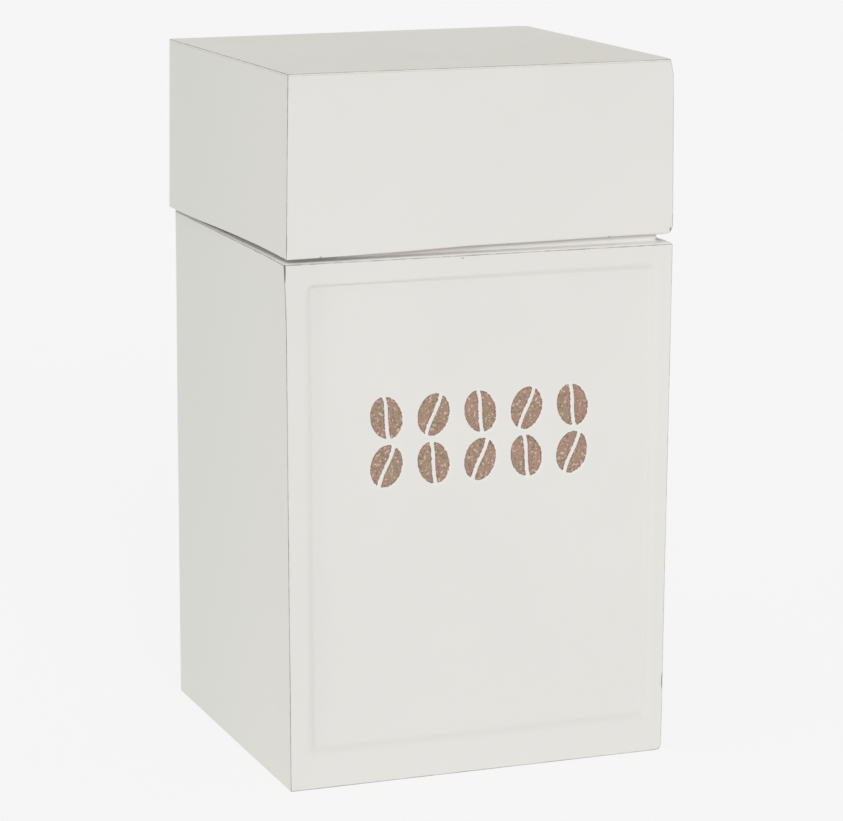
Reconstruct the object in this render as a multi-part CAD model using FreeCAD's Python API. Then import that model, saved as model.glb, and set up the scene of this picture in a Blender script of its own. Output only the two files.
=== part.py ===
import FreeCAD, Part
import math
import os
from FreeCAD import Vector

# Coffee tin: a box of soldered sheet metal with a tall neck, and a loose lid that lifts straight off.
# Frame: +Z up, the stamped front faces -Y, and the origin is on the table under the middle of the body.
# Every length is in millimetres.

# Driving dimensions
SHEET = 0.5                     # thickness of every sheet
BODY_W, BODY_D = 110.0, 102.0   # outside of the body, along X and Y
BODY_H = 144.0                  # table to shoulder
TOTAL_H = 193.2                 # table to the top of the lid
LID_W, LID_D = 111.4, 102.0     # outside of the lid at its open edge
LID_GAP = 0.6                   # shadow gap between shoulder and lid
LID_FLARE = 0.5                 # how far each lid wall leans out on its way down
LID_TURN = 1.0                  # the loose lid rests this many degrees round from square
LID_SHIFT = Vector(-0.3, 0.5, 0)    # and this far off the middle
SEAM_R = 0.55                   # front corners, where two sheets meet
BEND_R = 1.5                    # back corners, where one sheet is bent
FOLD_R = 0.4                    # outside radius of a folded edge
SHOULDER_R = 0.6                # and of the softer edge round the shoulder
FOOT_FLANGE = 5.0               # width of the turned-in edge that the tin stands on
NECK_INSET = 3.0                # body wall to neck, which is the width of the shoulder
NECK_SKIRT = 10.0               # how far the neck reaches down inside the body
NECK_R = 2.0                    # corners of the neck
HEM = 5.0                       # height of a doubled edge
LAP = 3.5                       # width of the front sheets' soldered laps
NECK_LAP = 12.0                 # width of the neck's overlap with itself, at the back
PAN_SKIRT = 6.0                 # height of the base pan's turned-up edge
PAN_FRONT_R, PAN_BACK_R = 2.0, 3.0
LID_FLANGE = 5.0                # width of the lid walls' turned-in top edge
BEAD = 1.0                      # long side of a bead of solder
FEATHER = 0.1                   # thickness at which a bead of solder runs out
FIT = 0.02                      # room between a sheet and the one that it is soldered to
OVERRUN = 1.0                   # how far a cutting shape runs past what it cuts

# Sunk panel on the front
PANEL_W = 98.0                  # to the middle of its sloping border
PANEL_BOTTOM, PANEL_TOP = 10.5, 137.5
PANEL_DEPTH = 1.0
PANEL_R = 3.0
BORDER = 2.0                    # width of the sloping border

# Coffee beans stamped into the panel, in rows and columns
BEAN_COLUMNS, BEAN_ROWS = 5, 2
BEAN_PITCH_X, BEAN_PITCH_Z = 13.4, 13.2
BEAN_W, BEAN_L = 9.0, 11.8
BEAN_TILT = 14.0                # degrees, one way and the other in turn
BEAN_DEPTH = 0.45
BEANS_Z = 94.0                  # height of the middle of the block
CREASE_W = 1.1
CREASE_SWING = 0.75             # how far the crease bends to each side

NECK_W, NECK_D = BODY_W - 2 * NECK_INSET, BODY_D - 2 * NECK_INSET
NECK_TOP = TOTAL_H - 2 * SHEET  # the lid walls' top flange rests on the neck's rim
NECK_FOOT = BODY_H - NECK_SKIRT
LID_FOOT = BODY_H + LID_GAP
LID_WALL_TOP = TOTAL_H - SHEET  # the lid's top plate lies on this
SHOULDER_BELOW = BODY_H - SHEET
FLANGE_BELOW = LID_WALL_TOP - SHEET
PAN_TOP = SHEET + PAN_SKIRT
MITRE = FOOT_FLANGE + OVERRUN   # how far the mitre between front and sides runs in
FRONT_Y = -BODY_D / 2
BACK = Vector(0, 1, 0)


# Each tube is its width and depth at height z, then the radii of its front and back corners.
def body_size(z):
    return BODY_W, BODY_D


def neck_size(z):
    return NECK_W, NECK_D


def lid_size(z):
    lean = 2 * LID_FLARE * (z - LID_FOOT) / (LID_WALL_TOP - LID_FOOT)
    return LID_W - lean, LID_D - lean


BODY = (body_size, SEAM_R, BEND_R)
PAN = (body_size, PAN_FRONT_R, PAN_BACK_R)
NECK = (neck_size, NECK_R, NECK_R)
LID = (lid_size, SEAM_R, BEND_R)


def closed_wire(corners):
    """A closed wire through (point, radius) corners in one plane, each corner rounded to its radius."""
    spans = []
    for i, (point, radius) in enumerate(corners):
        if radius == 0:
            spans.append((point, None, point))
            continue
        before = (corners[i - 1][0] - point).normalize()
        after = (corners[(i + 1) % len(corners)][0] - point).normalize()
        half_angle = before.getAngle(after) / 2
        reach = radius / math.tan(half_angle)
        centre = point + (before + after).normalize() * (radius / math.sin(half_angle))
        middle = centre + (point - centre).normalize() * radius
        spans.append((point + before * reach, middle, point + after * reach))
    edges = []
    for i, (start, middle, end) in enumerate(spans):
        if middle is not None:
            edges.append(Part.Arc(start, middle, end).toShape())
        edges.append(Part.LineSegment(end, spans[(i + 1) % len(spans)][0]).toShape())
    return Part.Wire(edges)


def outline(tube, z, inset):
    """A tube's outline at height z, moved in by inset."""
    size, front_r, back_r = tube
    width, depth = size(z)
    x, y = width / 2 - inset, depth / 2 - inset
    radii = [max(front_r - inset, 0)] * 2 + [max(back_r - inset, 0)] * 2
    points = [(-x, -y), (x, -y), (x, y), (-x, y)]
    return closed_wire([(Vector(px, py, z), radius) for (px, py), radius in zip(points, radii)])


def filled(tube, z0, z1, inset0=0.0, inset1=None):
    """The solid from a tube's inset at z0 to its inset at z1."""
    last = inset0 if inset1 is None else inset1
    return Part.makeLoft([outline(tube, z0, inset0), outline(tube, z1, last)], True, True)


def layer(tube, z0, z1, outer, thickness=SHEET):
    """One sheet that runs round a tube, with its outside at the given inset."""
    return filled(tube, z0, z1, outer).cut(filled(tube, z0, z1, outer + thickness))


def rounded_at(shape, height, radius):
    """The shape with all its edges at one height rounded."""
    edges = [e for e in shape.Edges if max(abs(v.Z - height) for v in e.Vertexes) < 1e-6]
    return shape.makeFillet(radius, edges)


def mitre_block(tube, z0, z1):
    """Everything in front of the 45 degree lines that run in from the front corners."""
    width, depth = tube[0](z0)
    x, y = width / 2, -depth / 2
    left, right = Vector(-x, y, z0), Vector(x, y, z0)
    out, back = OVERRUN, MITRE
    points = [left + Vector(-out, -out, 0), right + Vector(out, -out, 0)]
    points += [right + Vector(-back, back, 0), left + Vector(back, back, 0)]
    face = Part.Face(Part.makePolygon(points + points[:1]))
    return face.extrude(Vector(0, 0, z1 - z0))


def corner_strips(tube, z0, z1, section):
    """Two upright strips at the front corners. The section's points are (in from side, back from front)."""
    strips = []
    for side in (-1, 1):
        wires = []
        for z in (z0, z1):
            width, depth = tube[0](z)
            points = [Vector(side * (width / 2 - across), back - depth / 2, z) for across, back in section]
            wires.append(Part.makePolygon(points + points[:1]))
        strips.append(Part.makeLoft(wires, True, True))
    return strips


def laps(tube, z0, z1):
    """The strips of a front sheet that are bent back inside the side walls."""
    near, far = SHEET + FIT, 2 * SHEET + FIT
    first, last = SHEET - FIT, SHEET + LAP
    return corner_strips(tube, z0, z1, [(near, first), (far, first), (far, last), (near, last)])


def seam_solder(tube, z0, z1):
    """Beads in the corners between the laps' back edges and the side walls."""
    last = SHEET + LAP
    return corner_strips(tube, z0, z1, [(SHEET, last), (2 * SHEET, last), (SHEET, last + BEAD)])


def panel_outline(y, grow):
    """The sunk panel's outline in the plane at y, grown outwards by grow."""
    x, low, high = PANEL_W / 2 + grow, PANEL_BOTTOM - grow, PANEL_TOP + grow
    corners = [(-x, low), (x, low), (x, high), (-x, high)]
    return closed_wire([(Vector(px, y, pz), PANEL_R) for px, pz in corners])


def panel_block(y):
    """What the panel's die pushes in, starting from the plane at y."""
    rim, floor = panel_outline(y, BORDER / 2), panel_outline(y + PANEL_DEPTH, -BORDER / 2)
    return Part.makeLoft([rim, floor], True, True)


def bean_places():
    """The middle and tilt of each bean."""
    for row in range(BEAN_ROWS):
        for column in range(BEAN_COLUMNS):
            x = (column - (BEAN_COLUMNS - 1) / 2) * BEAN_PITCH_X
            z = BEANS_Z + (row - (BEAN_ROWS - 1) / 2) * BEAN_PITCH_Z
            tilt = BEAN_TILT if (row + column) % 2 == 0 else -BEAN_TILT
            yield x, z, tilt


def bean_oval(grow):
    """An upright ellipse in the XZ plane, as a block BEAN_DEPTH deep."""
    ellipse = Part.Wire(Part.Ellipse(Vector(0, 0, 0), BEAN_L / 2 + grow, BEAN_W / 2 + grow).toShape())
    ellipse.rotate(Vector(0, 0, 0), Vector(1, 0, 0), 90)
    ellipse.rotate(Vector(0, 0, 0), Vector(0, 1, 0), 90)
    return Part.Face(ellipse).extrude(BACK * BEAN_DEPTH)


def crease_side(x):
    """One long side of a crease that crosses the middle at x: two arcs that meet smoothly there."""
    middle, end = Vector(x, 0, 0), Vector(x, 0, BEAN_L)
    bow = Vector(x + CREASE_SWING, 0, BEAN_L / 2)
    upper = Part.Arc(middle, bow, end).toShape()
    lower = upper.copy()
    lower.rotate(middle, BACK, 180)
    return lower, upper


def bean_crease():
    """The S-shaped bar along the middle of a bean."""
    half_w = CREASE_W / 2
    left_low, left_high = crease_side(-half_w)
    right_low, right_high = crease_side(half_w)
    bottom, top = (Part.makeLine(Vector(-half_w, 0, z), Vector(half_w, 0, z)) for z in (-BEAN_L, BEAN_L))
    wire = Part.Wire([left_low, left_high, top, right_high, right_low, bottom])
    return Part.Face(wire).extrude(BACK * BEAN_DEPTH)


def placed_beans(block, y):
    """A copy of one block at every bean's place, starting from the plane at y."""
    copies = []
    for x, z, tilt in bean_places():
        copy = block.copy()
        copy.rotate(Vector(0, 0, 0), BACK, tilt)
        copy.translate(Vector(x, y, z))
        copies.append(copy)
    return Part.makeCompound(copies)


def body_shell():
    """The body's walls with their turned-in shoulder and foot, before front and wrap are parted."""
    shell = filled(BODY, 0, BODY_H)
    shell = rounded_at(rounded_at(shell, 0, FOLD_R), BODY_H, SHOULDER_R)
    shell = shell.cut(filled(BODY, SHEET, SHOULDER_BELOW, SHEET))
    shell = shell.cut(filled(BODY, -OVERRUN, 2 * SHEET, FOOT_FLANGE))
    return shell.cut(filled(NECK, SHOULDER_BELOW - OVERRUN, BODY_H + OVERRUN))


def front_plate():
    """The pressed front: its flanges, its soldered laps, the sunk panel and the beans."""
    plate = body_shell().common(mitre_block(BODY, -OVERRUN, BODY_H + OVERRUN))
    plate = plate.fuse(laps(BODY, PAN_TOP + 2 * BEAD, SHOULDER_BELOW - FIT))
    plate = plate.fuse(panel_block(FRONT_Y + SHEET)).cut(panel_block(FRONT_Y))
    bed = FRONT_Y + PANEL_DEPTH
    plate = plate.fuse(placed_beans(bean_oval(SHEET / 2), bed + SHEET).Solids)
    return plate.cut(placed_beans(bean_oval(0).cut(bean_crease()), bed))


def body_wrap():
    """Left side, back and right side in one bent sheet, with their share of the shoulder and foot."""
    return body_shell().cut(mitre_block(BODY, -OVERRUN, BODY_H + OVERRUN))


def base_pan():
    """A shallow pan that lies on the foot flange, with its edge turned up inside the walls."""
    pan = rounded_at(filled(PAN, SHEET, PAN_TOP, SHEET + FIT), SHEET, FOLD_R)
    return pan.cut(filled(PAN, 2 * SHEET, PAN_TOP + OVERRUN, 2 * SHEET + FIT))


def neck_sleeve():
    """The neck that the lid goes over: a strip bent round, lapped at the back, with a doubled rim."""
    sleeve = layer(NECK, NECK_FOOT, NECK_TOP, 0)
    sleeve = sleeve.fuse(layer(NECK, NECK_TOP - HEM, NECK_TOP, SHEET - FIT, SHEET + FIT))
    inside_y = NECK_D / 2 - 2 * SHEET
    corner = Vector(-NECK_LAP / 2, inside_y, NECK_FOOT)
    overlap = Part.makeBox(NECK_LAP, SHEET + FIT, NECK_TOP - HEM / 2 - NECK_FOOT, corner)
    return rounded_at(sleeve.fuse(overlap).removeSplitter(), NECK_TOP, FOLD_R)


def lid_shell():
    """The lid's walls with their doubled open edge and turned-in top, before front and wrap are parted."""
    shell = filled(LID, LID_FOOT, LID_WALL_TOP)
    shell = rounded_at(shell, LID_FOOT, FOLD_R)
    shell = shell.cut(filled(LID, LID_FOOT - OVERRUN, LID_FOOT + HEM, 2 * SHEET))
    shell = shell.cut(filled(LID, LID_FOOT + HEM, FLANGE_BELOW, SHEET))
    return shell.cut(filled(LID, FLANGE_BELOW - OVERRUN, LID_WALL_TOP + OVERRUN, LID_FLANGE))


def lid_front_plate():
    plate = lid_shell().common(mitre_block(LID, LID_FOOT, LID_WALL_TOP))
    return plate.fuse(laps(LID, LID_FOOT + HEM + FIT, FLANGE_BELOW - FIT))


def lid_wrap():
    return lid_shell().cut(mitre_block(LID, LID_FOOT, LID_WALL_TOP))


def lid_top_plate():
    face = Part.Face(outline(LID, LID_WALL_TOP, 0))
    return rounded_at(face.extrude(Vector(0, 0, SHEET)), TOTAL_H, FOLD_R)


def base_solder():
    """The bead all round the top of the base pan's turned-up edge."""
    top = PAN_TOP + BEAD
    return filled(BODY, PAN_TOP, top, SHEET).cut(filled(BODY, PAN_TOP, top, 2 * SHEET, SHEET + FEATHER))


def neck_solder():
    """The bead all round under the shoulder, against the outside of the neck."""
    low = SHOULDER_BELOW - BEAD
    return filled(NECK, low, SHOULDER_BELOW, -FEATHER, -BEAD).cut(filled(NECK, low, SHOULDER_BELOW))


def lid_top_solder():
    """The bead all round inside the lid, between its flange and its top plate."""
    bead = filled(LID, FLANGE_BELOW, LID_WALL_TOP, LID_FLANGE)
    return bead.cut(filled(LID, FLANGE_BELOW, LID_WALL_TOP, LID_FLANGE + FEATHER, LID_FLANGE + BEAD))


def rested(shape):
    """The shape as it sits in the loosely resting lid."""
    shape.rotate(Vector(0, 0, 0), Vector(0, 0, 1), LID_TURN)
    shape.translate(LID_SHIFT)
    return shape


body_seams = Part.makeCompound(seam_solder(BODY, PAN_TOP + 2 * BEAD, SHOULDER_BELOW - 2 * BEAD))
lid_seams = Part.makeCompound(seam_solder(LID, LID_FOOT + HEM + FIT, FLANGE_BELOW - FIT))
parts = {
    "front_plate": front_plate(),
    "body_wrap": body_wrap(),
    "base_pan": base_pan(),
    "neck_sleeve": neck_sleeve(),
    "front_seam_solder": body_seams,
    "base_solder": base_solder(),
    "neck_solder": neck_solder(),
    "lid_front_plate": rested(lid_front_plate()),
    "lid_wrap": rested(lid_wrap()),
    "lid_top_plate": rested(lid_top_plate()),
    "lid_seam_solder": rested(lid_seams),
    "lid_top_solder": rested(lid_top_solder()),
}

os.makedirs("parts", exist_ok=True)
for name, shape in parts.items():
    shape.exportStep(f"parts/{name}.step")
    print(name, "solids", len(shape.Solids), "volume", round(shape.Volume, 1), "valid", shape.isValid())
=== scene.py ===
import math

import bmesh
import bpy
import numpy as np
from mathutils import Matrix, Vector, noise


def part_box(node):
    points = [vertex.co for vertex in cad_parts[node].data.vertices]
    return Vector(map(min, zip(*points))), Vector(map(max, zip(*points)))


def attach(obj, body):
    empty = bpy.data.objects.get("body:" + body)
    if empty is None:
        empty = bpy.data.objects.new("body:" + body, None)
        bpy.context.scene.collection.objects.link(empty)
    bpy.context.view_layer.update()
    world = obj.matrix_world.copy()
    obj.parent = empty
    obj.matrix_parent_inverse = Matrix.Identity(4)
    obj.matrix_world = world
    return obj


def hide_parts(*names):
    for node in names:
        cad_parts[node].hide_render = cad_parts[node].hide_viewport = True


# The looks of the coffee tin. Metres, +Z up, the stamped front towards -Y.
# Every sheet of the tin is a cut through the sheet (a Section) swept round a rectangle.

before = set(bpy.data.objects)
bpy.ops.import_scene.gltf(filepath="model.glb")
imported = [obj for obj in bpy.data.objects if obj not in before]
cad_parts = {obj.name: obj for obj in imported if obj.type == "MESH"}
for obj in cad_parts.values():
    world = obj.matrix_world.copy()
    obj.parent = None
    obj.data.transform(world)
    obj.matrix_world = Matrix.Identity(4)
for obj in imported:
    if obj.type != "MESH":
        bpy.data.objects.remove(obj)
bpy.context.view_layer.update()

MM = 0.001


# ------------ sizes

front_low, front_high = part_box("front_plate")
wrap_low, wrap_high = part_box("body_wrap")
pan_low, pan_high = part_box("base_pan")
neck_low, neck_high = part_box("neck_sleeve")
lid_low, lid_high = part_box("lid_wrap")
top_low, top_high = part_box("lid_top_plate")

SHEET = top_high.z - top_low.z
BODY_W = wrap_high.x - wrap_low.x
BODY_D = wrap_high.y - front_low.y
BODY_H = front_high.z
NECK_W = neck_high.x - neck_low.x
NECK_D = neck_high.y - neck_low.y
FRONT_Y = front_low.y

LID_W, LID_D = 111.4 * MM, 102.0 * MM   # at the open edge, before the lid is turned
LID_FLARE = 0.5 * MM                    # how far each wall leans out on its way down
LID_TURN = math.radians(1.0)
LID_SHIFT = np.array([-0.3, 0.5, 0]) * MM
SEAM_R, BEND_R = 0.15 * MM, 1.5 * MM    # front corners with a seam, back corners bent
WALL_RADII = (SEAM_R, BEND_R)
NECK_RADII = (1.6 * MM, 1.6 * MM)
PAN_RADII = (2 * MM, 3 * MM)
FOLD_R = 0.35 * MM                      # outside of a folded edge
CRISP_R = 0.15 * MM                     # outside of the sharp edges at the foot and the top
WALL_TOP_R = 0.2 * MM                   # where the lid's walls turn in under its top plate
SHOULDER_IN = 0.35 * MM                 # the soft edge round the shoulder, from its hairline
SHOULDER_DROP = 0.6 * MM
TUCK_R = 0.10 * MM                      # inside of a folded edge
TUCK = SHEET + TUCK_R                   # from a sheet's outside to the middle of its inside fold
FLANGE = 5.0 * MM                       # turned-in edges at the foot and under the lid's top
HEM = 5.0 * MM                          # doubled edges
LAP = 3.5 * MM                          # the front sheets' laps inside the side walls
NECK_LAP = 12.0 * MM
HAIRLINE = 0.04 * MM                    # half the gap between two sheets that meet at a corner
FIT = 0.04 * MM                         # room between two sheets that lie on each other

SHOULDER_LINE = BODY_H - SHOULDER_DROP
NECK_FILLET = ((0.5, -0.01), (0.2, 0.07), (0, 0.20))    # paint at the neck: (out from it, up), in mm

PANEL_MIDDLE = 0.55 * MM                # sunk panel, a little to the right of the middle
PANEL_X = 48.85 * MM                    # from there to the middle of its sloping border
PANEL_LOW, PANEL_HIGH = 10.5 * MM, 137.3 * MM
PANEL_R = 1.1 * MM
PANEL_DEPTH = 1.28 * MM

BEAN_COLUMNS, BEAN_ROWS = 5, 2
BEAN_PITCH_X, BEAN_PITCH_Z = 13.4 * MM, 13.2 * MM
BEAN_HALF_W, BEAN_HALF_L = 4.5 * MM, 5.9 * MM
BEAN_TILT = math.radians(14)
BEAN_DEPTH = 0.42 * MM
BEANS_Z = 94.0 * MM
CREASE_HALF = 0.5 * MM                  # half the width of the raised line along a bean
CREASE_SWING = 0.75 * MM                # how far it bends to each side
CREASE_TURNS = 1.15                     # quarter turns of its wave from a bean's middle to its end
BEAN_SLOPE = (0.12 * MM, -0.26 * MM)    # a bean's sloping wall, from its outline

SAME_POINT = 1e-7                       # points closer than this are one
SHARP_ANGLE = math.radians(38)          # faces that meet at more than this keep a sharp edge
MARKS = ("edge_mm", "bean_mm")          # values kept at each point for the materials
FAR = 50.0                              # what a mark reads where nothing is near
PAINT, TIN, GAP_LIT = 0, 1, 2         # material slots of every sheet; the third is paint made brighter under the lid, as painted light


# ------------ numbers in arrays

def smooth(low, high, value):
    """0 at low, 1 at high, with a soft start and end."""
    t = np.clip((value - low) / (high - low), 0, 1)
    return t * t * (3 - 2 * t)


def spaced(*stops):
    """Values along a line. Each stop is (place, step used from here on), and the last is a place only."""
    values = []
    for (start, step), following in zip(stops, stops[1:]):
        end = following[0]
        count = max(1, round(abs(end - start) / step))
        values += [start + (end - start) * i / count for i in range(count)]
    return values + [stops[-1][0]]


def wander(points, size, seed):
    """Smooth noise from about -1 to 1 at each point of an (n, 3) array, with features of a given size."""
    shift = Vector((7.3 * seed, 3.1 * seed, 5.7 * seed))
    return np.array([noise.noise(Vector(p) / size + shift) for p in points.tolist()])


def segment_distance(points, start, end):
    """How far each point is from the line between start and end."""
    start, end = np.array(start), np.array(end)
    along = end - start
    t = np.clip((points - start) @ along / (along @ along), 0, 1)
    return np.linalg.norm(points - (start + t[:, None] * along), axis=1)


# ------------ sheets swept round a rectangle

# Round a rectangle, place 0 to 1 is the front left corner's arc and 1 to 2 is the front. 2 to 3 is the
# front right corner and 3 to 4 is the right side, and so on through the back to the left side, 7 to 8.
ROUND = 8
ANYWHERE = 4.0                          # the place given for a bar or bead that isn't swept round
CORNER_X = np.array([-1, 1, 1, -1])
CORNER_Y = np.array([-1, -1, 1, 1])
CORNER_START = np.radians([180, 270, 360, 450])
FRONT_MITRE = (0.5, 2.5)                # the front sheet's ends
WRAP_MITRE = (2.5, 8.5)                 # the ends of the sheet that is bent round the other three sides


def corner_point(corner, turn, inset, width, depth, radii):
    """A point on one corner's arc. turn is 0 at its start and 1 at its end."""
    front_r, back_r = radii
    radius = np.maximum(np.array([front_r, front_r, back_r, back_r])[corner] - inset, 0)
    angle = CORNER_START[corner] + turn * math.pi / 2
    x = CORNER_X[corner] * (width / 2 - inset - radius) + radius * np.cos(angle)
    y = CORNER_Y[corner] * (depth / 2 - inset - radius) + radius * np.sin(angle)
    return x, y


def round_point(place, inset, width, depth, radii):
    """Points round a rectangle that is moved in by inset. radii are its front and back corners'."""
    place = np.mod(place, ROUND)
    corner = (place // 2).astype(int)
    part = place - 2 * corner
    along = np.clip(part - 1, 0, 1)
    x0, y0 = corner_point(corner, np.clip(part, 0, 1), inset, width, depth, radii)
    x1, y1 = corner_point((corner + 1) % 4, 0 * part, inset, width, depth, radii)
    return x0 + (x1 - x0) * along, y0 + (y1 - y0) * along


class Section:
    """A cut through a sheet: (inset, height) points, and the material of the span that leads to each."""

    def __init__(self):
        self.points = []
        self.materials = []

    def go(self, material, *points):
        for point in points:
            self.points.append(point)
            self.materials.append(material)
        return self

    def fold(self, material, inset, height, radius, start, end, steps=4):
        """An arc about (inset, height) between two angles in degrees: 0 is inwards and 90 is up."""
        for i in range(steps + 1):
            angle = math.radians(start + (end - start) * i / steps)
            self.go(material, (inset + radius * math.cos(angle), height + radius * math.sin(angle)))


def side_places(side, *stops):
    """Places along one side, 0 to 3 from the front, from distances as fractions of its length."""
    return [2 * side + 1 + fraction for fraction in spaced(*stops)]


def corner_places(corner, start=0.0, end=1.0, steps=4):
    return [2 * corner + start + (end - start) * i / steps for i in range(steps + 1)]


def joined(*runs):
    """Runs of places as one list that doesn't repeat a place."""
    places = []
    for run in runs:
        places += [p for p in run if not places or p > places[-1] + 1e-9]
    return places


def front_places(columns):
    """Places along the front sheet: columns, with half a corner at each end."""
    return joined(corner_places(0, 0.5, 1, 3), columns, corner_places(1, 0, 0.5, 3))


def wrap_places(*stops):
    """Places along the sheet that is bent round the other three sides."""
    bends = [corner_places(corner, steps=8) for corner in (2, 3)]
    sides = [side_places(side, *stops) for side in (1, 2, 3)]
    last = [ROUND + place for place in corner_places(0, 0, 0.5, 3)]
    return joined(corner_places(1, 0.5, 1, 3), sides[0], bends[0], sides[1], bends[1], sides[2], last)


def ring_places(steps, *stops):
    """Places all round a rectangle, with the same stops along each side."""
    return joined(*[joined(corner_places(k, steps=steps), side_places(k, *stops)) for k in range(4)])[:-1]


def finish_piece(name, mesh, materials, body, node_name):
    """Makes the piece that stands for a CAD node: facing outwards, and smooth between its sharp edges."""
    work = bmesh.new()
    work.from_mesh(mesh)
    bmesh.ops.remove_doubles(work, verts=work.verts, dist=SAME_POINT)
    bmesh.ops.dissolve_degenerate(work, edges=work.edges, dist=SAME_POINT)
    bmesh.ops.recalc_face_normals(work, faces=work.faces)
    work.to_mesh(mesh)
    work.free()
    for material in materials:
        mesh.materials.append(material)
    mesh.shade_smooth()
    mesh.set_sharp_from_angle(angle=SHARP_ANGLE)
    piece = bpy.data.objects.new(name, mesh)
    bpy.context.scene.collection.objects.link(piece)
    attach(piece, body)
    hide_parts(node_name)


def ringed_mesh(name, points, across, closed=False, filled=False):
    """A mesh through rings of points, each ring across long.

    closed joins the last ring to the first, and otherwise both have a face over them. filled leaves out
    the span that would close each ring.
    """
    rings = len(points) // across
    faces = []
    for i in range(rings if closed else rings - 1):
        here, there = i * across, (i + 1) % rings * across
        for j in range(across - 1 if filled else across):
            k = (j + 1) % across
            faces.append((here + j, here + k, there + k, there + j))
    if not closed:
        faces += [tuple(range(across)), tuple(range((rings - 1) * across, rings * across))]
    mesh = bpy.data.meshes.new(name)
    mesh.from_pydata(points, [], faces)
    return mesh


def swept(name, section, places, size, radii, shape, marks=None, closed=False, filled=False):
    """A mesh of a section swept through places. size(z) gives the rectangle, and shape moves points.

    filled is for a plate whose section starts and ends in its middle. marks gives names with a value per
    point, from where the points are before shape moves them.
    """
    inset, height = (np.array(values)[None, :] for values in zip(*section.points))
    place = np.array(places)[:, None]
    width, depth = size(height)
    x, y = round_point(place + 0 * inset, inset + 0 * place, width, depth, radii)
    points = np.stack([x, y, height + 0 * place], axis=-1).reshape(-1, 3)
    marked = marks(points) if marks else {}
    points = shape(points, (place + 0 * inset).ravel())
    first, *others = section.materials
    spans = others if filled else [*others, first]
    slots = spans * len(places) if closed else spans * (len(places) - 1) + [first, first]
    mesh = ringed_mesh(name, points.tolist(), len(section.points), closed, filled)
    mesh.polygons.foreach_set("material_index", slots)
    for mark, values in marked.items():
        set_attribute(mesh, mark, values)
    return mesh


def joined_mesh(name, meshes):
    """Several meshes with the same material slots as one. A mark that one of them lacks reads FAR."""
    marks = sorted({mark.name for mesh in meshes for mark in mesh.attributes if mark.name in MARKS})
    values = {mark: np.concatenate([attribute_values(mesh, mark) for mesh in meshes]) for mark in marks}
    work = bmesh.new()
    for mesh in meshes:
        work.from_mesh(mesh)
    for mark in marks:
        work.verts.layers.float.remove(work.verts.layers.float[mark])
    whole = bpy.data.meshes.new(name)
    work.to_mesh(whole)
    work.free()
    for mark in marks:
        set_attribute(whole, mark, values[mark])
    for mesh in meshes:
        bpy.data.meshes.remove(mesh)
    return whole


def strip(name, corners, low, high, shape):
    """An upright bar of bare tin on a base of (x, y) corners, cut into short lengths."""
    heights = spaced((low, 4 * MM), (high,))
    points = np.array([(x, y, z) for z in heights for x, y in corners])
    points = shape(points, np.full(len(points), ANYWHERE))
    mesh = ringed_mesh(name, points.tolist(), len(corners))
    mesh.polygons.foreach_set("material_index", [TIN] * len(mesh.polygons))
    return mesh


def set_attribute(mesh, name, values):
    layer = mesh.attributes.new(name, "FLOAT", "POINT")
    layer.data.foreach_set("value", np.asarray(values, dtype=np.float32))


def attribute_values(mesh, name):
    values = np.full(len(mesh.vertices), FAR)
    if name in mesh.attributes:
        mesh.attributes[name].data.foreach_get("value", values)
    return values


# ------------ the body's and the lid's own shapes

def body_size(z):
    return BODY_W + 0 * z, BODY_D + 0 * z


def neck_size(z):
    return NECK_W + 0 * z, NECK_D + 0 * z


def lid_size(z):
    lean = 2 * LID_FLARE * (z - lid_low.z) / (lid_high.z - lid_low.z)
    return LID_W - lean, LID_D - lean


def top_size(z):
    return lid_size(lid_high.z + 0 * z)


def pushed(points, centre, reach, push):
    """Moves the points near a corner by up to push."""
    near = np.linalg.norm(points - np.array(centre), axis=1) / reach
    weight = np.clip(1 - near, 0, 1) ** 1.5
    return points + weight[:, None] * np.array(push)


def plan_blend(points, width, depth, corners):
    """A value between those at the plan's corners: front left, front right, back right, back left."""
    across = np.clip(points[:, 0] / width + 0.5, 0, 1)
    back = np.clip(points[:, 1] / depth + 0.5, 0, 1)
    front_left, front_right, back_right, back_left = np.array(corners) * MM
    front = front_left + (front_right - front_left) * across
    return front + (back_left + (back_right - back_left) * across - front) * back


# How far each upright edge is off its place along x, and the lid's top corners below theirs, in mm.
BODY_FOOT_LEAN = (0.70, -0.02, -0.02, 0.14)
BODY_SHOULDER_LEAN = (-0.28, 0.47, 0.47, 0.06)
LID_FOOT_LEAN = (-0.26, 0, 0.5, -0.10)
LID_TOP_LEAN = (0.09, 0, 0.75, -0.10)
LID_TOP_DROP = (0.1, 0, 0.05, 0.33)

WAVE = 0.10 * MM                        # unevenness of the faces
WAVE_LENGTH = 45 * MM
WAVE_ROOM = 0.1 * MM                    # the faces are drawn in by this, to leave room for it
RIGHT_DROP = 0.2 * MM                   # how much lower the shoulder is at the right


def hand_made(points, seed, amount):
    """Slow waves in the walls, along x and y."""
    moved = points.copy()
    moved[:, 0] += amount * wander(points, WAVE_LENGTH, seed)
    moved[:, 1] += amount * wander(points, WAVE_LENGTH, seed + 20)
    return moved


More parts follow.
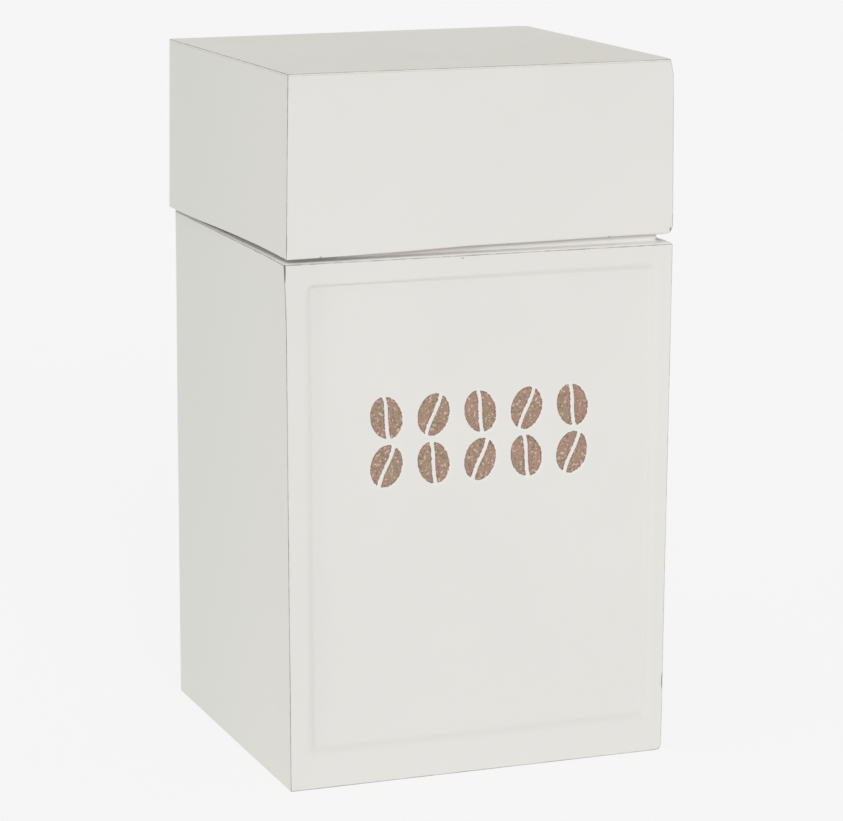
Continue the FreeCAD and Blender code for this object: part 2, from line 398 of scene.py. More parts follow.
def body_shape(points, place):
    """The body as made: edges a little off, faces uneven, one corner knocked and one sprung."""
    rise = np.clip(points[:, 2] / BODY_H, 0, 1)
    moved = hand_made(points, 1, WAVE)
    at_foot = plan_blend(points, BODY_W, BODY_D, BODY_FOOT_LEAN)
    at_shoulder = plan_blend(points, BODY_W, BODY_D, BODY_SHOULDER_LEAN)
    moved[:, 0] += at_foot + (at_shoulder - at_foot) * rise
    moved[:, 1] *= 1 - WAVE_ROOM / (BODY_D / 2)
    moved[:, 2] -= RIGHT_DROP * rise * np.clip(points[:, 0] / BODY_W + 0.5, 0, 1)
    moved = pushed(moved, (BODY_W / 2, FRONT_Y, 0), 1.8 * MM, (-0.5 * MM, 0.1 * MM, 0.35 * MM))
    return pushed(moved, (-BODY_W / 2, FRONT_Y, BODY_H), 18 * MM, (-0.5 * MM, 0, 0))


# How much higher than its lowest point the lid's open edge is, at places round it.
LID_EDGE_PLACES = np.array([0, 1, 1.1, 1.2, 1.3, 1.47, 1.6, 1.89, 2, 3, 4, 6, 7.2, 7.45, 7.6, 7.8, 8])
LID_EDGE_RISE = np.array(
    [0.2, 0.15, 0.1, 0.42, 0.6, 1.1, 1.1, 1.3, 1.15, 1.5, 1.3, 0.1, 0.0, 0.48, 0.67, 0.66, 0.2]
) * MM


def lid_shape(points, place):
    """The lid as made and as it rests: open edge out of level, faces uneven, two corners knocked."""
    rise = np.interp(np.mod(place, ROUND), LID_EDGE_PLACES, LID_EDGE_RISE)
    low = np.clip((lid_high.z - points[:, 2]) / (lid_high.z - lid_low.z), 0, 1)
    moved = hand_made(points, 5, WAVE)
    moved[:, :2] *= 1 - WAVE_ROOM / (LID_W / 2)
    at_foot = plan_blend(points, LID_W, LID_D, LID_FOOT_LEAN)
    at_top = plan_blend(points, LID_W, LID_D, LID_TOP_LEAN)
    moved[:, 0] += at_top + (at_foot - at_top) * low
    moved[:, 2] += rise * low ** 2 - plan_blend(points, LID_W, LID_D, LID_TOP_DROP) * (1 - low)
    right, front = LID_W / 2, -LID_D / 2
    moved = pushed(moved, (right, front, top_high.z), 5.2 * MM, (-0.95 * MM, 0.35 * MM, 0))
    foot = lid_low.z + 1.4 * MM
    moved = pushed(moved, (right, front, foot), 2.4 * MM, (-0.7 * MM, 0.1 * MM, 0.5 * MM))
    turn = np.array(Matrix.Rotation(LID_TURN, 3, "Z"))
    return moved @ turn.T + LID_SHIFT


def bean_places():
    """The middle and tilt of each stamped bean."""
    for row in range(BEAN_ROWS):
        for column in range(BEAN_COLUMNS):
            x = (column - (BEAN_COLUMNS - 1) / 2) * BEAN_PITCH_X
            z = BEANS_Z + (row - (BEAN_ROWS - 1) / 2) * BEAN_PITCH_Z
            yield x, z, BEAN_TILT if (row + column) % 2 == 0 else -BEAN_TILT


def bean_distance(x, z):
    """How far each point of the front is outside the beans' outlines. Inside it is negative."""
    nearest = np.full(x.shape, 3 * MM)
    for centre_x, centre_z, tilt in bean_places():
        dx, dz = x - centre_x, z - centre_z
        across = dx * math.cos(tilt) - dz * math.sin(tilt)
        along = dx * math.sin(tilt) + dz * math.cos(tilt)
        round_once = np.hypot(across / BEAN_HALF_W, along / BEAN_HALF_L) + 1e-9
        round_twice = np.hypot(across / BEAN_HALF_W ** 2, along / BEAN_HALF_L ** 2) + 1e-9
        oval = round_once * (round_once - 1) / round_twice
        crease_x = CREASE_SWING * np.sin(CREASE_TURNS * math.pi / 2 * along / BEAN_HALF_L)
        crease = CREASE_HALF - np.abs(across - crease_x)
        nearest = np.minimum(nearest, np.maximum(oval, crease))
    return nearest


def panel_distance(x, z):
    """How far each point of the front is outside the sunk panel's outline. Inside it is negative."""
    middle, half = (PANEL_LOW + PANEL_HIGH) / 2, (PANEL_HIGH - PANEL_LOW) / 2
    over_x = np.abs(x - PANEL_MIDDLE) - PANEL_X + PANEL_R
    over_z = np.abs(z - middle) - half + PANEL_R
    outside = np.hypot(np.maximum(over_x, 0), np.maximum(over_z, 0))
    return outside + np.minimum(np.maximum(over_x, over_z), 0) - PANEL_R


def stamp_depth(points):
    """How deep the front is pressed in at each point. The panel's border is crisp at its top left only."""
    x, z = points[:, 0], points[:, 2]
    crisp = smooth(PANEL_HIGH - 3 * MM, PANEL_HIGH - 1 * MM, z) * smooth(20 * MM, -35 * MM, x)
    soft = smooth(PANEL_LOW + 6 * MM, PANEL_LOW - 2 * MM, z)
    upright = smooth(PANEL_X - 6 * MM, PANEL_X - 2 * MM, np.abs(x - PANEL_MIDDLE))
    outer = (1.8 - 1.0 * crisp + 0.8 * soft + 0.25 * upright) * MM
    inner = (0.6 - 0.25 * crisp + 1.0 * soft + 0.2 * upright) * MM
    down = np.clip((outer - panel_distance(x, z)) / (outer + inner), 0, 1) ** 1.5
    bean = smooth(*BEAN_SLOPE, bean_distance(x, z))
    return PANEL_DEPTH * smooth(0, 1, down) + BEAN_DEPTH * bean


def front_parted(points, place, gaping=0.0):
    """The front sheet's two ends drawn in by a hairline, and the left one by gaping as well."""
    moved = points.copy()
    moved[:, 0] += np.where(place <= FRONT_MITRE[0] + 1e-6, HAIRLINE + gaping, 0)
    moved[place >= FRONT_MITRE[1] - 1e-6, 0] -= HAIRLINE
    return moved


def wrap_parted(points, place):
    """The other sheet's two ends drawn back by a hairline."""
    moved = points.copy()
    ends = (place <= WRAP_MITRE[0] + 1e-6) | (place >= WRAP_MITRE[1] - 1e-6)
    moved[ends, 1] += HAIRLINE
    return moved


def front_shape(points, place):
    """The front plate: pressed first, then as uneven as the rest of the body."""
    pressed = points.copy()
    pressed[:, 1] += stamp_depth(points) * smooth(1.0 * MM, 0.6 * MM, points[:, 1] - FRONT_Y)
    gaping = 0.14 * MM * smooth(BODY_H - 9 * MM, BODY_H, points[:, 2])
    return front_parted(body_shape(pressed, place), place, gaping)


def wrap_shape(points, place):
    return wrap_parted(body_shape(points, place), place)


def lid_front_shape(points, place):
    return lid_shape(front_parted(points, place), place)


def lid_wrap_shape(points, place):
    return lid_shape(wrap_parted(points, place), place)


def box_edges(foot, top, uprights, foot_holds, top_holds):
    """The twelve edges of a box, as (start, end, hold). foot and top are each (width, depth, height).

    A hold is a length in mm, added to the distance from an edge that shows less wear. The uprights' holds
    start at the front left, and the foot's and top's at the front. All go round to the right.
    """
    rings = []
    for width, depth, z in (foot, top):
        x, y = width / 2, depth / 2
        rings.append([(-x, -y, z), (x, -y, z), (x, y, z), (-x, y, z)])
    edges = list(zip(*rings, uprights))
    for ring, holds in zip(rings, (foot_holds, top_holds)):
        edges += zip(ring, ring[1:] + ring[:1], holds)
    return edges


def edge_marks(edges):
    """Marks that give each point its distance in millimetres from the nearest worn edge."""
    def marks(points):
        distances = [segment_distance(points, start, end) / MM + hold for start, end, hold in edges]
        return {"edge_mm": np.min(distances, axis=0)}
    return marks


def front_marks(points):
    """The body's edge marks, and how far each point is outside the beans' outlines."""
    off_face = np.where(points[:, 1] < FRONT_Y + 1 * MM, 0, FAR)
    bean = bean_distance(points[:, 0], points[:, 2]) / MM + off_face
    return {"bean_mm": bean, **edge_marks(body_edges)(points)}


# ------------ materials

def node(tree, kind, inputs=None, **settings):
    """A shader node. An input given as a socket is linked, and any other value is set."""
    made = tree.nodes.new("ShaderNode" + kind)
    for key, value in settings.items():
        setattr(made, key, value)
    for key, value in (inputs or {}).items():
        if isinstance(value, bpy.types.NodeSocket):
            tree.links.new(value, made.inputs[key])
        else:
            made.inputs[key].default_value = value
    return made


def object_place(tree):
    return node(tree, "TexCoord").outputs["Object"]


def grain(tree, size, detail=2.0, stretch=(1, 1, 1)):
    """Noise from 0 to 1 with features of a size in metres, drawn out by stretch."""
    scale = tuple(1 / s for s in stretch)
    place = node(tree, "Mapping", {"Vector": object_place(tree), "Scale": scale}).outputs["Vector"]
    return node(tree, "TexNoise", {"Vector": place, "Scale": 1 / size, "Detail": detail}).outputs["Fac"]


def ranged(tree, value, low, high, to_low=0.0, to_high=1.0):
    """value's range from low to high, softly mapped to another range."""
    inputs = {"Value": value, "From Min": low, "From Max": high, "To Min": to_low, "To Max": to_high}
    return node(tree, "MapRange", inputs, interpolation_type="SMOOTHSTEP").outputs["Result"]


def maths(tree, operation, a, b):
    return node(tree, "Math", {0: a, 1: b}, operation=operation).outputs[0]


def mixed(tree, factor, a, b):
    """Colour a where factor is 0 and b where it is 1."""
    inputs = {"Factor": factor, 6: a if isinstance(a, bpy.types.NodeSocket) else (*a, 1)}
    inputs[7] = b if isinstance(b, bpy.types.NodeSocket) else (*b, 1)
    return node(tree, "Mix", inputs, data_type="RGBA").outputs[2]


def attribute(tree, name):
    return node(tree, "Attribute", attribute_name=name).outputs["Fac"]


def bumped(tree, height, depth, under=None):
    """A normal for a height from 0 to 1 that stands for a depth in metres."""
    inputs = {"Height": height, "Distance": depth, "Strength": 1.0}
    if under:
        inputs["Normal"] = under
    return node(tree, "Bump", inputs).outputs["Normal"]


def new_material(name):
    material = bpy.data.materials.new(name)
    material.use_nodes = True
    tree = material.node_tree
    return material, tree, tree.nodes["Principled BSDF"]


FRONT_PAINT = ((0.794, 0.786, 0.752), (0.780, 0.772, 0.738))
LID_PAINT = ((0.800, 0.792, 0.758), (0.786, 0.778, 0.744))
# Painted shade: the paint turns towards this lower down, nearer the table.
FOOT_SHADE_PAINT = (0.705, 0.698, 0.668)
SIDE_SHADED_PAINT = ((0.783, 0.776, 0.737), (0.734, 0.736, 0.693))     # from the front edge to the back edge: painted shade, the side darker and greyer than the front and darker towards the back
GAP_LIT_PAINT = ((0.95, 0.94, 0.92), (0.93, 0.91, 0.88))      # on the shoulder and the lid's inner hem: far brighter than the paint outside, painted light that lifts the shade in the gap under the lid
TOP_PAINT = ((0.820, 0.805, 0.748), (0.800, 0.781, 0.720))
NECK_PAINT = ((0.80, 0.79, 0.765), (0.77, 0.755, 0.725))
NECK_FOOT_LIGHT = (0.87, 0.855, 0.835)                               # lowest down, at the shoulder: painted light, where the neck is lit below the lid's shadow
NECK_WARM = (0.825, 0.76, 0.71)
NECK_LID_SHADOW = (0.67, 0.645, 0.63)                                # where the lid's edge ends: painted shadow that the lid casts on the top of the neck
# Painted shade: dark in the front left seam's gap and under the lid's front left edge.
GAP_SHADE_DARK = (0.18, 0.17, 0.16)
PAINT_STAIN = (0.72, 0.67, 0.59)
# Painted highlight: the pale halo round the beans.
BEAN_HALO_HIGHLIGHT = (0.85, 0.84, 0.81)
WORN_DARK, WORN_LIGHT = (0.22, 0.20, 0.175), (0.42, 0.39, 0.35)
FILL_PINK, FILL_OLIVE = (0.43, 0.26, 0.20), (0.37, 0.27, 0.18)
FILL_DARK, FILL_PALE = (0.20, 0.135, 0.10), (0.66, 0.57, 0.49)
TIN_DULL, TIN_BRIGHT = (0.50, 0.49, 0.47), (0.66, 0.655, 0.63)
TIN_ROLLED, TIN_SPECK = (0.40, 0.39, 0.37), (0.22, 0.18, 0.14)
SOLDER_DULL, SOLDER_BRIGHT = (0.36, 0.36, 0.36), (0.58, 0.58, 0.57)
FOLD_TO_CORNER = 0.06                       # mm from a fold's surface to the sharp corner that it rounds
# Roughness of the paint, of what shows where it is worn off, and of the beans' fill.
PAINT_ROUGH, WORN_ROUGH, FILL_ROUGH = 0.58, 0.68, 0.75


def spot(tree, centre, half):
    """1 in the middle of a small oval block, and 0 outside it. Sizes in millimetres."""
    start = tuple(-c / h for c, h in zip(centre, half))
    scale = tuple(1 / (h * MM) for h in half)
    place = node(tree, "Mapping", {"Vector": object_place(tree), "Location": start, "Scale": scale})
    away = node(tree, "VectorMath", {0: place.outputs["Vector"]}, operation="LENGTH").outputs["Value"]
    return ranged(tree, away, 1.0, 0.6)


def along(tree, axis):
    """The place along one axis of the tin, in metres."""
    return node(tree, "SeparateXYZ", {"Vector": object_place(tree)}).outputs[axis]


def paint_colours(tree, tones, knocks, stains_and_shades, side, foot):
    """Off-white paint, worn thin along the edges, with painted shade on the sides and towards the table,
    and patches of stain, painted shade and painted light. Gives its colour, and its wear from 0 to 1.
    """
    edge = maths(tree, "SUBTRACT", attribute(tree, "edge_mm"), FOLD_TO_CORNER)
    # On a side the two tones are painted shade, darker towards the back edge.
    if side:
        colour = mixed(tree, ranged(tree, along(tree, "Y"), -50 * MM, 50 * MM), *tones)
    else:
        colour = mixed(tree, ranged(tree, grain(tree, 35 * MM, 3), 0.3, 0.7), *tones)
    # Painted shade: darker towards the table.
    if foot:
        lower = ranged(tree, along(tree, "Z"), 125 * MM, -30 * MM, 0, foot)
        colour = mixed(tree, lower, colour, FOOT_SHADE_PAINT)
    near_edge = ranged(tree, edge, 5.0, 0.0, 0.0, 0.07)
    patchy = ranged(tree, grain(tree, 9 * MM, 4), 0.45, 0.75)
    colour = mixed(tree, maths(tree, "MULTIPLY", near_edge, patchy), colour, PAINT_STAIN)

    line_reach = ranged(tree, grain(tree, 2.5 * MM, 4), 0.30, 0.75, 0.05, 0.13)
    line = ranged(tree, maths(tree, "SUBTRACT", edge, line_reach), 0.05, -0.05)
    line_strength = ranged(tree, grain(tree, 16 * MM, 3), 0.30, 0.65, 0.55, 0.9)
    line = maths(tree, "MULTIPLY", line, line_strength)
    chip_zone = ranged(tree, edge, 1.0, 0.1)
    chips = ranged(tree, grain(tree, 0.8 * MM, 2), 0.765, 0.785)
    wear = maths(tree, "MAXIMUM", line, maths(tree, "MULTIPLY", chip_zone, chips))
    for centre, half in knocks:
        wear = maths(tree, "MAXIMUM", wear, spot(tree, centre, half))

    bare = mixed(tree, grain(tree, 0.8 * MM, 2), WORN_DARK, WORN_LIGHT)
    colour = mixed(tree, wear, colour, bare)
    # Stains, and patches of painted shade and painted light, each laid over a small block.
    for centre, half, patch_colour in stains_and_shades:
        colour = mixed(tree, spot(tree, centre, half), colour, patch_colour)
    return colour, wear


def filled_beans(tree, paint, paint_normal):
    """The beans' worn brown fill, flecked and ragged at its rim, painted darker there as shade, with a
    painted highlight of paler paint round it.
    """
    bean = attribute(tree, "bean_mm")
    ragged = ranged(tree, grain(tree, 0.8 * MM, 2), 0.3, 0.7, -0.10, 0.10)
    fill = ranged(tree, maths(tree, "ADD", bean, ragged), 0.02, -0.10)
    brown = mixed(tree, ranged(tree, grain(tree, 7 * MM, 2), 0.35, 0.65), FILL_OLIVE, FILL_PINK)
    dark = ranged(tree, grain(tree, 0.55 * MM, 3), 0.52, 0.32, 0.0, 0.75)
    brown = mixed(tree, dark, brown, FILL_DARK)
    # Painted shade: the fill turns darker at its rim, along the stamped edge.
    rim = ranged(tree, bean, -0.45, -0.10, 0.0, 0.45)
    brown = mixed(tree, rim, brown, FILL_DARK)
    pale = ranged(tree, grain(tree, 0.85 * MM, 3), 0.56, 0.66, 0.0, 0.85)
    brown = mixed(tree, pale, brown, FILL_PALE)
    # Painted highlight: a pale ring of paint just outside each bean.
    bean_halo_highlight = ranged(tree, bean, 0.7, 0.15, 0.0, 0.6)
    colour = mixed(tree, fill, mixed(tree, bean_halo_highlight, paint, BEAN_HALO_HIGHLIGHT), brown)
    roughness = ranged(tree, fill, 0, 1, PAINT_ROUGH, FILL_ROUGH)
    grit = maths(tree, "MULTIPLY", grain(tree, 0.45 * MM, 3), fill)
    return colour, roughness, bumped(tree, grit, 0.06 * MM, paint_normal)


def paint_material(name, tones, knocks=(), stains_and_shades=(), side=False, stamped=False, foot=0.0):
    """Paint in two tones, mixed from front to back on a side as painted shade that darkens it towards the
    back, and cloudy elsewhere.

    foot is how far it turns to the darker foot paint towards the table, as painted shade. stamped is for
    the plate with the beans.
    """
    material, tree, shader = new_material(name)
    colour, wear = paint_colours(tree, tones, knocks, stains_and_shades, side, foot)
    height = maths(tree, "SUBTRACT", grain(tree, 0.7 * MM, 3), maths(tree, "MULTIPLY", wear, 3.0))
    normal = bumped(tree, height, 0.008 * MM)
    if stamped:
        colour, roughness, normal = filled_beans(tree, colour, normal)
    else:
        roughness = ranged(tree, wear, 0, 1, PAINT_ROUGH, WORN_ROUGH)
    tree.links.new(colour, shader.inputs["Base Color"])
    tree.links.new(roughness, shader.inputs["Roughness"])
    tree.links.new(normal, shader.inputs["Normal"])
    shader.inputs["Specular IOR Level"].default_value = 0.3
    return material


def tin_material():
    """The bare inside: dull tinned sheet with faint rolling marks and a few dark specks."""
    material, tree, shader = new_material("bare_tin")
    rolled = grain(tree, 3 * MM, 4, (1, 1, 14))
    cloudy = ranged(tree, grain(tree, 18 * MM, 3), 0.3, 0.7)
    colour = mixed(tree, cloudy, TIN_DULL, TIN_BRIGHT)
    colour = mixed(tree, ranged(tree, rolled, 0.45, 0.75, 0.0, 0.35), colour, TIN_ROLLED)
    specks = ranged(tree, grain(tree, 1.4 * MM, 2), 0.72, 0.76, 0.0, 0.7)
    colour = mixed(tree, specks, colour, TIN_SPECK)
    tree.links.new(colour, shader.inputs["Base Color"])
    tree.links.new(ranged(tree, cloudy, 0, 1, 0.52, 0.38), shader.inputs["Roughness"])
    tree.links.new(bumped(tree, rolled, 0.012 * MM), shader.inputs["Normal"])
    shader.inputs["Metallic"].default_value = 0.9
    return material


def solder_material():
    """Soft solder, cloudy and lumpy."""
    material, tree, shader = new_material("solder")
    dull = ranged(tree, grain(tree, 2.5 * MM, 3), 0.3, 0.7)
    tree.links.new(mixed(tree, dull, SOLDER_DULL, SOLDER_BRIGHT), shader.inputs["Base Color"])
    tree.links.new(ranged(tree, dull, 0, 1, 0.6, 0.38), shader.inputs["Roughness"])
    tree.links.new(bumped(tree, grain(tree, 0.9 * MM, 3), 0.08 * MM), shader.inputs["Normal"])
    shader.inputs["Metallic"].default_value = 0.85
    return material


# Small knocks are (centre, half size), and stains and patches of painted shade and light (centre, half
# size, colour), in millimetres.
BODY_KNOCKS = (((-5.8, -51, 142.7), (0.5, 2, 0.15)), ((54.9, -51, 20), (0.35, 2, 3)))
# Painted shade in the gaping seam at the top of the front left corner.
BODY_GAP_SHADES = (((-55.5, -51, 141.6), (0.34, 0.4, 3.7), GAP_SHADE_DARK),)
LID_KNOCKS = (
    ((-45.7, -50.5, 145.1), (0.45, 2, 0.3)),
    ((37.2, -49.5, 145.95), (0.5, 2, 0.2)),
    ((55.4, -49.6, 147.0), (0.35, 2, 0.8)),
)
# Painted shade along the lid's front left edge, where it nearly meets the shoulder.
LID_GAP_SHADES = (((-42, -50.7, 144.8), (20, 0.9, 0.28), GAP_SHADE_DARK),)
# The neck's patches: painted light low down, a warm stain, and the lid's painted shadow along the top.
NECK_STAIN_LIGHT_AND_SHADE = (
    ((0, 0, 143.4), (400, 400, 2.2), NECK_FOOT_LIGHT),
    ((-13, -48, 144.5), (17, 12, 3), NECK_WARM),
    ((0, -48, 146.1), (130, 8, 1.6), NECK_LID_SHADOW),
)

side_shaded_paint = paint_material("off_white_paint_side", SIDE_SHADED_PAINT, side=True, foot=0.25)
stamped_paint = paint_material(
    "off_white_paint_stamped", FRONT_PAINT, BODY_KNOCKS, BODY_GAP_SHADES, stamped=True, foot=1.0
)
lid_paint = paint_material("off_white_paint_lid", LID_PAINT, LID_KNOCKS, LID_GAP_SHADES)
top_paint = paint_material("off_white_paint_top", TOP_PAINT)
neck_paint = paint_material("off_white_paint_neck", NECK_PAINT, stains_and_shades=NECK_STAIN_LIGHT_AND_SHADE)
gap_lit_paint = paint_material("off_white_paint_sheltered", GAP_LIT_PAINT)
tin = tin_material()
solder = solder_material()


# ------------ the body

def body_section(rows, inner_rows):
    """The body's wall with its foot turned in at the bottom and its shoulder at the top."""
    shoulder = (BODY_W - NECK_W) / 2 - FIT
    cut = Section()
    cut.go(PAINT, (FLANGE, 0), (2.5 * MM, 0), (1.0 * MM, 0))
    cut.fold(PAINT, CRISP_R, CRISP_R, CRISP_R, 270, 180)
    cut.go(PAINT, *[(0, z) for z in rows])
    cut.go(PAINT, (0, SHOULDER_LINE - 0.07 * MM), (0.04 * MM, SHOULDER_LINE + 0.07 * MM))
    cut.go(PAINT, (SHOULDER_IN - 0.06 * MM, BODY_H - 0.20 * MM))
    cut.go(PAINT, (SHOULDER_IN + 0.10 * MM, BODY_H - 0.12 * MM))
    # Painted light: the shoulder's paint under the lid is made brighter to lift the shade in the gap.
    cut.go(GAP_LIT, (1.0 * MM, BODY_H - 0.09 * MM), (1.7 * MM, BODY_H - 0.05 * MM))
    cut.go(GAP_LIT, *[(shoulder - side * MM, BODY_H + up * MM) for side, up in NECK_FILLET])
    cut.go(TIN, (shoulder, BODY_H - SHEET))
    cut.fold(TIN, TUCK, BODY_H - TUCK, TUCK_R, 90, 180, 2)
    cut.go(TIN, *[(SHEET, z) for z in reversed(inner_rows) if TUCK < z < BODY_H - TUCK])
    cut.fold(TIN, TUCK, TUCK, TUCK_R, 180, 270, 2)
    return cut.go(TIN, (FLANGE, SHEET))


def coarse_rows(low, high):
    """Heights for a plain wall, close together only near its edges."""
    near, nearer = 4 * MM, 1.6 * MM
    stops = [(low + 0.25 * MM, 0.3 * MM), (low + nearer, 1.2 * MM), (low + near, 6 * MM)]
    stops += [(high - near, 1.2 * MM), (high - nearer, 0.3 * MM), (high - 0.25 * MM,)]
    return spaced(*stops)


# Stops along a plain side, as fractions of it, close together only near its ends.
PLAIN_SIDE = ((0, 0.0025), (0.01, 0.01), (0.03, 0.047), (0.97, 0.01), (0.99, 0.0025), (1,))
BORDER_REACH = 2.4 * MM                 # half the width of the panel's border, at its softest
BEANS_HALF_W, BEANS_HALF_H = 33.5 * MM, 14 * MM


def front_columns():
    """Places across the stamped front, close together at the panel's border and the beans."""
    half = BODY_W / 2 - SEAM_R
    border_in, border_out = PANEL_X - BORDER_REACH, PANEL_X + BORDER_REACH
    stops = [(-half, 0.3 * MM), (-half + 1.2 * MM, 0.9 * MM)]
    stops += [(-border_out, 0.3 * MM), (-border_in, 1.6 * MM)]
    stops += [(-BEANS_HALF_W, 0.33 * MM), (BEANS_HALF_W, 1.6 * MM)]
    stops += [(border_in, 0.3 * MM), (border_out, 0.9 * MM)]
    stops += [(half - 1.2 * MM, 0.3 * MM), (half,)]
    return [1 + (x + half) / (2 * half) for x in spaced(*stops)]


def front_rows():
    """Heights up the stamped front, close together at the panel's border and the beans."""
    low, high = FOLD_R + 0.25 * MM, SHOULDER_LINE - 0.25 * MM
    stops = [(low, 0.3 * MM), (2 * MM, 1.2 * MM)]
    stops += [(PANEL_LOW - BORDER_REACH, 0.3 * MM), (PANEL_LOW + BORDER_REACH, 2 * MM)]
    stops += [(BEANS_Z - BEANS_HALF_H, 0.33 * MM), (BEANS_Z + BEANS_HALF_H, 2 * MM)]
    stops += [(PANEL_HIGH - BORDER_REACH, 0.2 * MM), (PANEL_HIGH + 1.5 * MM, 0.8 * MM)]
    stops += [(high - 1.2 * MM, 0.3 * MM), (high,)]
    return spaced(*stops)


def lap_strips(name, width, depth, low, high, shape):
    """Two bars inside the side walls, bent back from the front sheet."""
    bars = []
    for side in (-1, 1):
        outer, inner = side * (width / 2 - SHEET - FIT), side * (width / 2 - 2 * SHEET - FIT)
        near, far = -depth / 2 + SHEET, -depth / 2 + SHEET + LAP
        corners = [(outer, near), (inner, near), (inner, far), (outer, far)]
        bars.append(strip(f"{name}_{side}", corners, low, high, shape))
    return bars


body_edges = box_edges(
    foot=(BODY_W, BODY_D, 0),
    top=(BODY_W, BODY_D, SHOULDER_LINE),
    uprights=(0, -0.02, 0.3, 0.3),
    # The front foot's hold is below zero, for a fuller dark line there: painted shade for the contact
    # shadow at the table, drawn with the worn line.
    foot_holds=(-0.1, 0.3, 0.3, 0.3),
    top_holds=(0.025, 0.01, 0.3, 0.02),
)


def finish_wall(name, mesh, paint, body, node_name):
    finish_piece(name, mesh, (paint, tin, gap_lit_paint), body, node_name)


def make_wrap(name, section, size, shape, edges, body, node_name):
    """A sheet that is bent round the three plain sides."""
    mesh = swept(name, section, wrap_places(*PLAIN_SIDE), size, WALL_RADII, shape, edge_marks(edges))
    finish_wall(name, mesh, side_shaded_paint, body, node_name)


def make_front_plate():
    rows = front_rows()
    places = front_places(front_columns())
    section = body_section(rows, rows[::2])
    face = swept("face", section, places, body_size, WALL_RADII, front_shape, front_marks)
    laps = lap_strips("lap", BODY_W, BODY_D, pan_high.z + 2 * MM, BODY_H - SHEET - FIT, body_shape)
    sheet = joined_mesh("front_sheet", [face, *laps])
    finish_wall("front_sheet", sheet, stamped_paint, "body", "front_plate")


def make_body_wrap():
    rows = coarse_rows(FOLD_R, SHOULDER_LINE)
    section = body_section(rows, rows)
    make_wrap("wrap_sheet", section, body_size, wrap_shape, body_edges, "body", "body_wrap")


def make_base_pan():
    """A shallow pan with its edge turned up, closed across the middle, where its sides' insets meet."""
    low, high = pan_low.z, pan_high.z
    side = SHEET + FIT
    middle = BODY_D / 2
    cut = Section()
    cut.go(TIN, (middle, low), (30 * MM, low), (12 * MM, low), (3 * MM, low))
    cut.fold(TIN, side + FOLD_R, low + FOLD_R, FOLD_R, 270, 180)
    cut.go(TIN, (side, high), (side + SHEET, high))
    cut.fold(TIN, side + TUCK, low + TUCK, TUCK_R, 180, 270, 2)
    cut.go(TIN, *[(inset * MM, low + SHEET) for inset in (3, 6, 12, 20, 30, 40)])
    cut.go(TIN, (middle, low + SHEET))
    places = ring_places(5, (0, 0.08), (1,))
    mesh = swept("pan_sheet", cut, places, body_size, PAN_RADII, pan_shape, closed=True, filled=True)
    finish_piece("pan_sheet", mesh, (tin, tin), "body", "base_pan")


def pan_shape(points, place):
    """The pan's floor is dished up a little, as thin sheet is."""
    moved = body_shape(points, place)
    off_edge = np.minimum(BODY_W / 2 - np.abs(points[:, 0]), BODY_D / 2 - np.abs(points[:, 1]))
    dished = 0.5 * MM * smooth(6 * MM, 30 * MM, off_edge)
    moved[:, 2] += dished * (1 + 0.4 * wander(points, 25 * MM, 3))
    return moved


def neck_shape(points, place):
    """The neck is soldered to the shoulder, so it leans as the shoulder does."""
    moved = hand_made(points, 9, 0.06 * MM)
    moved[:, 0] += plan_blend(points, BODY_W, BODY_D, BODY_SHOULDER_LEAN) - HAIRLINE
    return moved


def make_neck():
    """The neck: a strip with its rim doubled inwards, and its ends lapped at the back."""
    foot, rim = neck_low.z, neck_high.z
    cut = Section()
    outside = spaced((foot, 4 * MM), (rim - 3 * MM, 1 * MM), (rim - SHEET - 0.2 * MM,))
    cut.go(PAINT, *[(0, z) for z in outside])
    cut.fold(PAINT, SHEET, rim - SHEET, SHEET, 180, 0, 8)
    cut.go(PAINT, (2 * SHEET, rim - 2 * MM), (2 * SHEET, rim - HEM))
    cut.go(TIN, (SHEET + FIT, rim - HEM), (SHEET, rim - HEM))
    cut.go(TIN, *[(SHEET, z) for z in spaced((rim - HEM - 1 * MM, 5 * MM), (foot,))])
    places = ring_places(6, (0, 0.06), (1,))
    box_foot, box_top = (NECK_W, NECK_D, BODY_H - 0.3 * MM), (NECK_W, NECK_D, rim)
    little_wear, full_wear = (0.3,) * 4, (0,) * 4
    marks = edge_marks(box_edges(box_foot, box_top, little_wear, little_wear, full_wear))
    sleeve = swept("sleeve", cut, places, neck_size, NECK_RADII, neck_shape, marks, closed=True)
    outer, inner = NECK_D / 2 - SHEET, NECK_D / 2 - 2 * SHEET
    half = NECK_LAP / 2
    corners = [(-half, inner), (half, inner), (half, outer), (-half, outer)]
    overlap = strip("overlap", corners, foot + 0.5 * MM, rim - HEM - 0.3 * MM, neck_shape)
    mesh = joined_mesh("neck", [sleeve, overlap])
    finish_piece("neck", mesh, (neck_paint, tin), "body", "neck_sleeve")


# ------------ the lid

